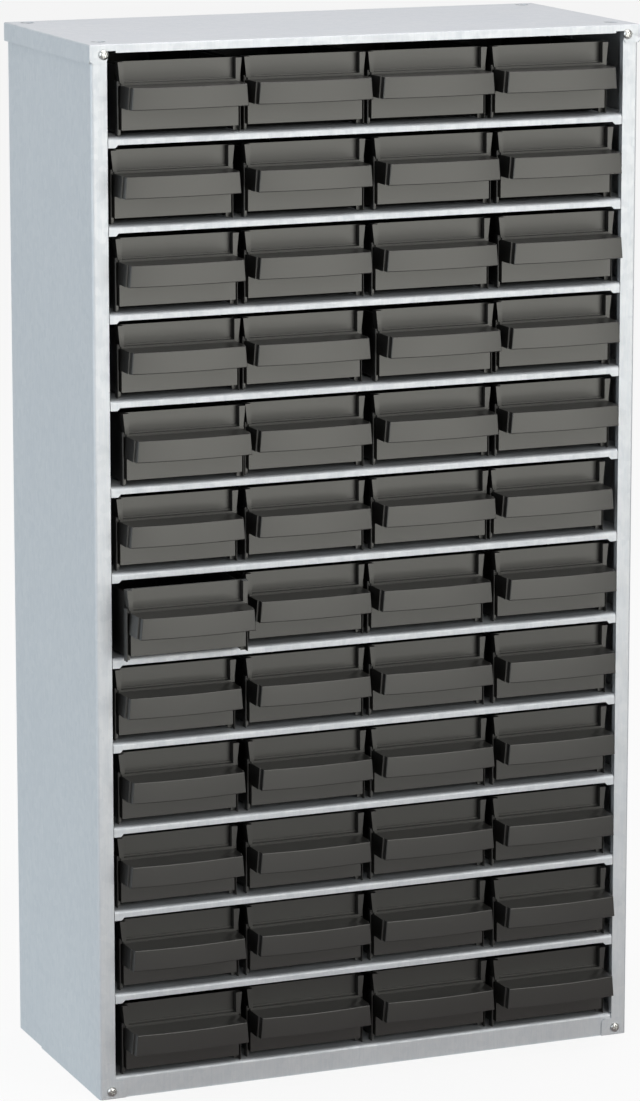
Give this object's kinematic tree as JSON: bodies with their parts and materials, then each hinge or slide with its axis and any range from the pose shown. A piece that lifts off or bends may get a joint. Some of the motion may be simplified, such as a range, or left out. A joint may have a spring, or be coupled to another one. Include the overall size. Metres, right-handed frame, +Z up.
{
  "type": "parts bin cabinet",
  "caption": "Upright sheet-steel cabinet holding rows of small sliding plastic drawers, each with a label field and a full-width pull handle.",
  "frame": {"origin": "on the floor, under the middle of the outline as the drawers stand at rest, handles included", "axes": "+X to the right seen from the front, +Y to the back, +Z up"},
  "size_m": [0.306, 0.165, 0.552],
  "materials": {
    "galvanised_steel": "galvanised, fine spangle",
    "zinc_plated_screw": "zinc plated",
    "drawer_plastic": "satin, finely textured"
  },
  "bodies": {
    "cabinet": {"top_cap": "galvanised_steel", "left_side_panel": "galvanised_steel", "right_side_panel": "galvanised_steel", "back_panel": "galvanised_steel", "bottom_tray": "galvanised_steel", "shelves": "galvanised_steel", "front_screws": "zinc_plated_screw"},
    "drawer_row01_col1": {"drawer_row01_col1": "drawer_plastic"},
    "drawer_row01_col2": {"drawer_row01_col2": "drawer_plastic"},
    "drawer_row01_col3": {"drawer_row01_col3": "drawer_plastic"},
    "drawer_row01_col4": {"drawer_row01_col4": "drawer_plastic"},
    "drawer_row02_col1": {"drawer_row02_col1": "drawer_plastic"},
    "drawer_row02_col2": {"drawer_row02_col2": "drawer_plastic"},
    "drawer_row02_col3": {"drawer_row02_col3": "drawer_plastic"},
    "drawer_row02_col4": {"drawer_row02_col4": "drawer_plastic"},
    "drawer_row03_col1": {"drawer_row03_col1": "drawer_plastic"},
    "drawer_row03_col2": {"drawer_row03_col2": "drawer_plastic"},
    "drawer_row03_col3": {"drawer_row03_col3": "drawer_plastic"},
    "drawer_row03_col4": {"drawer_row03_col4": "drawer_plastic"},
    "drawer_row04_col1": {"drawer_row04_col1": "drawer_plastic"},
    "drawer_row04_col2": {"drawer_row04_col2": "drawer_plastic"},
    "drawer_row04_col3": {"drawer_row04_col3": "drawer_plastic"},
    "drawer_row04_col4": {"drawer_row04_col4": "drawer_plastic"},
    "drawer_row05_col1": {"drawer_row05_col1": "drawer_plastic"},
    "drawer_row05_col2": {"drawer_row05_col2": "drawer_plastic"},
    "drawer_row05_col3": {"drawer_row05_col3": "drawer_plastic"},
    "drawer_row05_col4": {"drawer_row05_col4": "drawer_plastic"},
    "drawer_row06_col1": {"drawer_row06_col1": "drawer_plastic"},
    "drawer_row06_col2": {"drawer_row06_col2": "drawer_plastic"},
    "drawer_row06_col3": {"drawer_row06_col3": "drawer_plastic"},
    "drawer_row06_col4": {"drawer_row06_col4": "drawer_plastic"},
    "drawer_row07_col1": {"drawer_row07_col1": "drawer_plastic"},
    "drawer_row07_col2": {"drawer_row07_col2": "drawer_plastic"},
    "drawer_row07_col3": {"drawer_row07_col3": "drawer_plastic"},
    "drawer_row07_col4": {"drawer_row07_col4": "drawer_plastic"},
    "drawer_row08_col1": {"drawer_row08_col1": "drawer_plastic"},
    "drawer_row08_col2": {"drawer_row08_col2": "drawer_plastic"},
    "drawer_row08_col3": {"drawer_row08_col3": "drawer_plastic"},
    "drawer_row08_col4": {"drawer_row08_col4": "drawer_plastic"},
    "drawer_row09_col1": {"drawer_row09_col1": "drawer_plastic"},
    "drawer_row09_col2": {"drawer_row09_col2": "drawer_plastic"},
    "drawer_row09_col3": {"drawer_row09_col3": "drawer_plastic"},
    "drawer_row09_col4": {"drawer_row09_col4": "drawer_plastic"},
    "drawer_row10_col1": {"drawer_row10_col1": "drawer_plastic"},
    "drawer_row10_col2": {"drawer_row10_col2": "drawer_plastic"},
    "drawer_row10_col3": {"drawer_row10_col3": "drawer_plastic"},
    "drawer_row10_col4": {"drawer_row10_col4": "drawer_plastic"},
    "drawer_row11_col1": {"drawer_row11_col1": "drawer_plastic"},
    "drawer_row11_col2": {"drawer_row11_col2": "drawer_plastic"},
    "drawer_row11_col3": {"drawer_row11_col3": "drawer_plastic"},
    "drawer_row11_col4": {"drawer_row11_col4": "drawer_plastic"},
    "drawer_row12_col1": {"drawer_row12_col1": "drawer_plastic"},
    "drawer_row12_col2": {"drawer_row12_col2": "drawer_plastic"},
    "drawer_row12_col3": {"drawer_row12_col3": "drawer_plastic"},
    "drawer_row12_col4": {"drawer_row12_col4": "drawer_plastic"}
  },
  "joints": [
    {"name": "slide_row01_col1", "type": "slide", "parent": "cabinet", "child": "drawer_row01_col1", "axis": [0, -1, 0], "range_m": [-0.003, 0.102]},
    {"name": "slide_row01_col2", "type": "slide", "parent": "cabinet", "child": "drawer_row01_col2", "axis": [0, -1, 0], "range_m": [0, 0.105]},
    {"name": "slide_row01_col3", "type": "slide", "parent": "cabinet", "child": "drawer_row01_col3", "axis": [0, -1, 0], "range_m": [0, 0.105]},
    {"name": "slide_row01_col4", "type": "slide", "parent": "cabinet", "child": "drawer_row01_col4", "axis": [0, -1, 0], "range_m": [0, 0.105]},
    {"name": "slide_row02_col1", "type": "slide", "parent": "cabinet", "child": "drawer_row02_col1", "axis": [0, -1, 0], "range_m": [0, 0.105]},
    {"name": "slide_row02_col2", "type": "slide", "parent": "cabinet", "child": "drawer_row02_col2", "axis": [0, -1, 0], "range_m": [0, 0.105]},
    {"name": "slide_row02_col3", "type": "slide", "parent": "cabinet", "child": "drawer_row02_col3", "axis": [0, -1, 0], "range_m": [0, 0.105]},
    {"name": "slide_row02_col4", "type": "slide", "parent": "cabinet", "child": "drawer_row02_col4", "axis": [0, -1, 0], "range_m": [0, 0.105]},
    {"name": "slide_row03_col1", "type": "slide", "parent": "cabinet", "child": "drawer_row03_col1", "axis": [0, -1, 0], "range_m": [-0.002, 0.103]},
    {"name": "slide_row03_col2", "type": "slide", "parent": "cabinet", "child": "drawer_row03_col2", "axis": [0, -1, 0], "range_m": [0, 0.105]},
    {"name": "slide_row03_col3", "type": "slide", "parent": "cabinet", "child": "drawer_row03_col3", "axis": [0, -1, 0], "range_m": [0, 0.105]},
    {"name": "slide_row03_col4", "type": "slide", "parent": "cabinet", "child": "drawer_row03_col4", "axis": [0, -1, 0], "range_m": [0, 0.105]},
    {"name": "slide_row04_col1", "type": "slide", "parent": "cabinet", "child": "drawer_row04_col1", "axis": [0, -1, 0], "range_m": [0, 0.105]},
    {"name": "slide_row04_col2", "type": "slide", "parent": "cabinet", "child": "drawer_row04_col2", "axis": [0, -1, 0], "range_m": [0, 0.105]},
    {"name": "slide_row04_col3", "type": "slide", "parent": "cabinet", "child": "drawer_row04_col3", "axis": [0, -1, 0], "range_m": [-0.003, 0.102]},
    {"name": "slide_row04_col4", "type": "slide", "parent": "cabinet", "child": "drawer_row04_col4", "axis": [0, -1, 0], "range_m": [0, 0.105]},
    {"name": "slide_row05_col1", "type": "slide", "parent": "cabinet", "child": "drawer_row05_col1", "axis": [0, -1, 0], "range_m": [-0.004, 0.101]},
    {"name": "slide_row05_col2", "type": "slide", "parent": "cabinet", "child": "drawer_row05_col2", "axis": [0, -1, 0], "range_m": [0, 0.105]},
    {"name": "slide_row05_col3", "type": "slide", "parent": "cabinet", "child": "drawer_row05_col3", "axis": [0, -1, 0], "range_m": [0, 0.105]},
    {"name": "slide_row05_col4", "type": "slide", "parent": "cabinet", "child": "drawer_row05_col4", "axis": [0, -1, 0], "range_m": [0, 0.105]},
    {"name": "slide_row06_col1", "type": "slide", "parent": "cabinet", "child": "drawer_row06_col1", "axis": [0, -1, 0], "range_m": [0, 0.105]},
    {"name": "slide_row06_col2", "type": "slide", "parent": "cabinet", "child": "drawer_row06_col2", "axis": [0, -1, 0], "range_m": [0, 0.105]},
    {"name": "slide_row06_col3", "type": "slide", "parent": "cabinet", "child": "drawer_row06_col3", "axis": [0, -1, 0], "range_m": [0, 0.105]},
    {"name": "slide_row06_col4", "type": "slide", "parent": "cabinet", "child": "drawer_row06_col4", "axis": [0, -1, 0], "range_m": [0, 0.105]},
    {"name": "slide_row07_col1", "type": "slide", "parent": "cabinet", "child": "drawer_row07_col1", "axis": [0, -1, 0], "range_m": [-0.015, 0.09]},
    {"name": "slide_row07_col2", "type": "slide", "parent": "cabinet", "child": "drawer_row07_col2", "axis": [0, -1, 0], "range_m": [0, 0.105]},
    {"name": "slide_row07_col3", "type": "slide", "parent": "cabinet", "child": "drawer_row07_col3", "axis": [0, -1, 0], "range_m": [0, 0.105]},
    {"name": "slide_row07_col4", "type": "slide", "parent": "cabinet", "child": "drawer_row07_col4", "axis": [0, -1, 0], "range_m": [0, 0.105]},
    {"name": "slide_row08_col1", "type": "slide", "parent": "cabinet", "child": "drawer_row08_col1", "axis": [0, -1, 0], "range_m": [0, 0.105]},
    {"name": "slide_row08_col2", "type": "slide", "parent": "cabinet", "child": "drawer_row08_col2", "axis": [0, -1, 0], "range_m": [0, 0.105]},
    {"name": "slide_row08_col3", "type": "slide", "parent": "cabinet", "child": "drawer_row08_col3", "axis": [0, -1, 0], "range_m": [0, 0.105]},
    {"name": "slide_row08_col4", "type": "slide", "parent": "cabinet", "child": "drawer_row08_col4", "axis": [0, -1, 0], "range_m": [0, 0.105]},
    {"name": "slide_row09_col1", "type": "slide", "parent": "cabinet", "child": "drawer_row09_col1", "axis": [0, -1, 0], "range_m": [0, 0.105]},
    {"name": "slide_row09_col2", "type": "slide", "parent": "cabinet", "child": "drawer_row09_col2", "axis": [0, -1, 0], "range_m": [0, 0.105]},
    {"name": "slide_row09_col3", "type": "slide", "parent": "cabinet", "child": "drawer_row09_col3", "axis": [0, -1, 0], "range_m": [0, 0.105]},
    {"name": "slide_row09_col4", "type": "slide", "parent": "cabinet", "child": "drawer_row09_col4", "axis": [0, -1, 0], "range_m": [0, 0.105]},
    {"name": "slide_row10_col1", "type": "slide", "parent": "cabinet", "child": "drawer_row10_col1", "axis": [0, -1, 0], "range_m": [0, 0.105]},
    {"name": "slide_row10_col2", "type": "slide", "parent": "cabinet", "child": "drawer_row10_col2", "axis": [0, -1, 0], "range_m": [0, 0.105]},
    {"name": "slide_row10_col3", "type": "slide", "parent": "cabinet", "child": "drawer_row10_col3", "axis": [0, -1, 0], "range_m": [0, 0.105]},
    {"name": "slide_row10_col4", "type": "slide", "parent": "cabinet", "child": "drawer_row10_col4", "axis": [0, -1, 0], "range_m": [0, 0.105]},
    {"name": "slide_row11_col1", "type": "slide", "parent": "cabinet", "child": "drawer_row11_col1", "axis": [0, -1, 0], "range_m": [0, 0.105]},
    {"name": "slide_row11_col2", "type": "slide", "parent": "cabinet", "child": "drawer_row11_col2", "axis": [0, -1, 0], "range_m": [0, 0.105]},
    {"name": "slide_row11_col3", "type": "slide", "parent": "cabinet", "child": "drawer_row11_col3", "axis": [0, -1, 0], "range_m": [0, 0.105]},
    {"name": "slide_row11_col4", "type": "slide", "parent": "cabinet", "child": "drawer_row11_col4", "axis": [0, -1, 0], "range_m": [-0.002, 0.103]},
    {"name": "slide_row12_col1", "type": "slide", "parent": "cabinet", "child": "drawer_row12_col1", "axis": [0, -1, 0], "range_m": [-0.003, 0.102]},
    {"name": "slide_row12_col2", "type": "slide", "parent": "cabinet", "child": "drawer_row12_col2", "axis": [0, -1, 0], "range_m": [0, 0.105]},
    {"name": "slide_row12_col3", "type": "slide", "parent": "cabinet", "child": "drawer_row12_col3", "axis": [0, -1, 0], "range_m": [0, 0.105]},
    {"name": "slide_row12_col4", "type": "slide", "parent": "cabinet", "child": "drawer_row12_col4", "axis": [0, -1, 0], "range_m": [-0.002, 0.103]}
  ]
}
